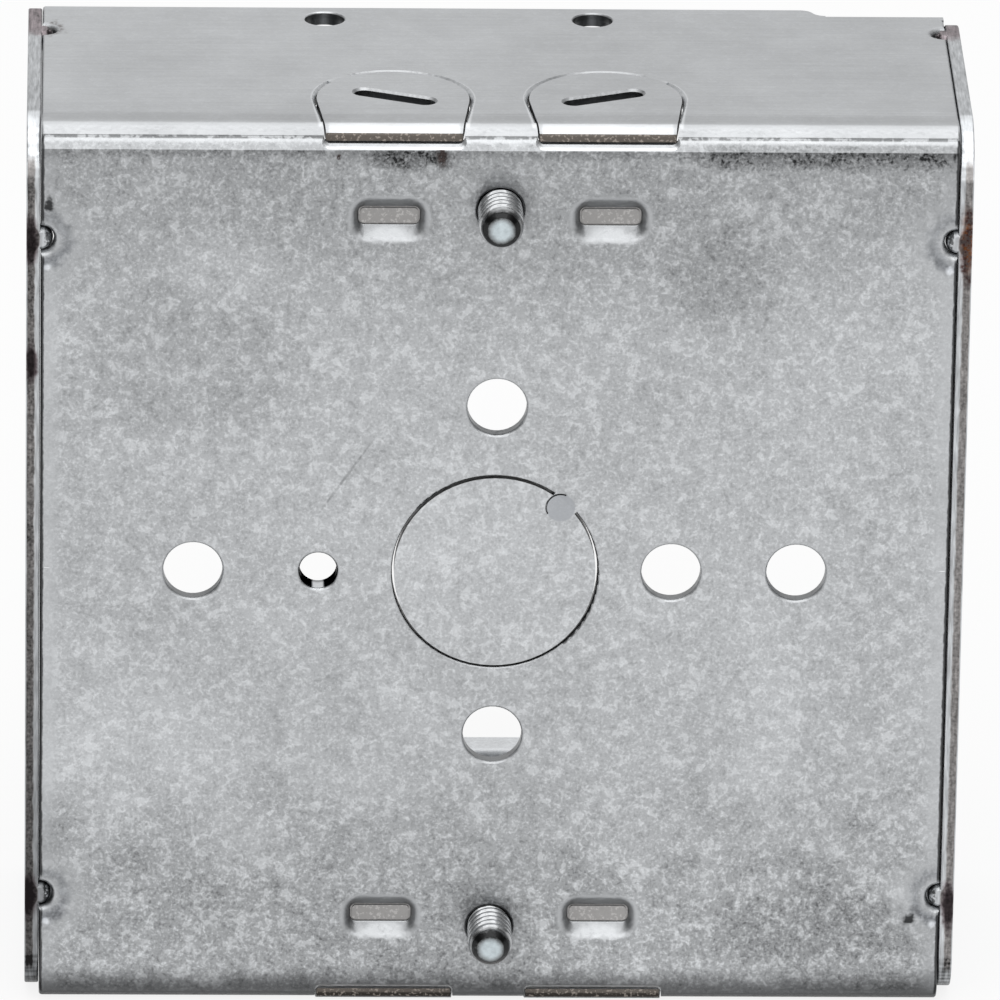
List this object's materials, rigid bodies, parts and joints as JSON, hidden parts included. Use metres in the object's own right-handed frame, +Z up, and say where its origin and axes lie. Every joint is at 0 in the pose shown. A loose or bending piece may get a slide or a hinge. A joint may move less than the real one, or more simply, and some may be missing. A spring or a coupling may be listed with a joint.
{
  "type": "square electrical box",
  "caption": "Shallow square steel outlet box, open at the front, with a knockout, pry-out cable tabs, screw holes, cover ears and screwed cable clamps inside.",
  "frame": {"origin": "middle of the back's outer face, where the wall screw holes' pattern is centred", "axes": "+Y from the back to the open front, +Z up as in the picture, +X to the right seen from behind"},
  "size_m": [0.1012, 0.0444, 0.1018],
  "materials": {
    "galvanised_wrap": "mottled galvanised sheet",
    "galvanised_plate": "galvanised sheet with sheared edges",
    "clamp_steel": "smooth galvanised sheet",
    "zinc_screw": "bright zinc plate"
  },
  "bodies": {
    "box": {"back_wrap": "galvanised_wrap", "left_side_plate": "galvanised_plate", "right_side_plate": "galvanised_plate"},
    "upper_clamp": {"upper_cable_clamp": "clamp_steel"},
    "upper_screw": {"upper_clamp_screw": "zinc_screw"},
    "lower_clamp": {"lower_cable_clamp": "clamp_steel"},
    "lower_screw": {"lower_clamp_screw": "zinc_screw"}
  },
  "joints": [
    {"name": "upper_clamp_slide", "type": "slide", "parent": "box", "child": "upper_clamp", "axis": [0, 1, 0], "range_m": [-0.0036, 0.005]},
    {"name": "upper_screw_turn", "type": "hinge", "parent": "upper_clamp", "child": "upper_screw", "pos_m": [0, 0, 0.0417], "axis": [0, 1, 0], "range_deg": [-1230, 1706]},
    {"name": "lower_clamp_slide", "type": "slide", "parent": "box", "child": "lower_clamp", "axis": [0, 1, 0], "range_m": [-0.0036, 0.005]},
    {"name": "lower_screw_turn", "type": "hinge", "parent": "lower_clamp", "child": "lower_screw", "pos_m": [0, 0, -0.0417], "axis": [0, 1, 0], "range_deg": [-1230, 1706]}
  ],
  "couplings": [
    {"joint": "upper_screw_turn", "follows": "upper_clamp_slide", "rad_per_m": 5936.9},
    {"joint": "lower_screw_turn", "follows": "lower_clamp_slide", "rad_per_m": 5936.9}
  ]
}
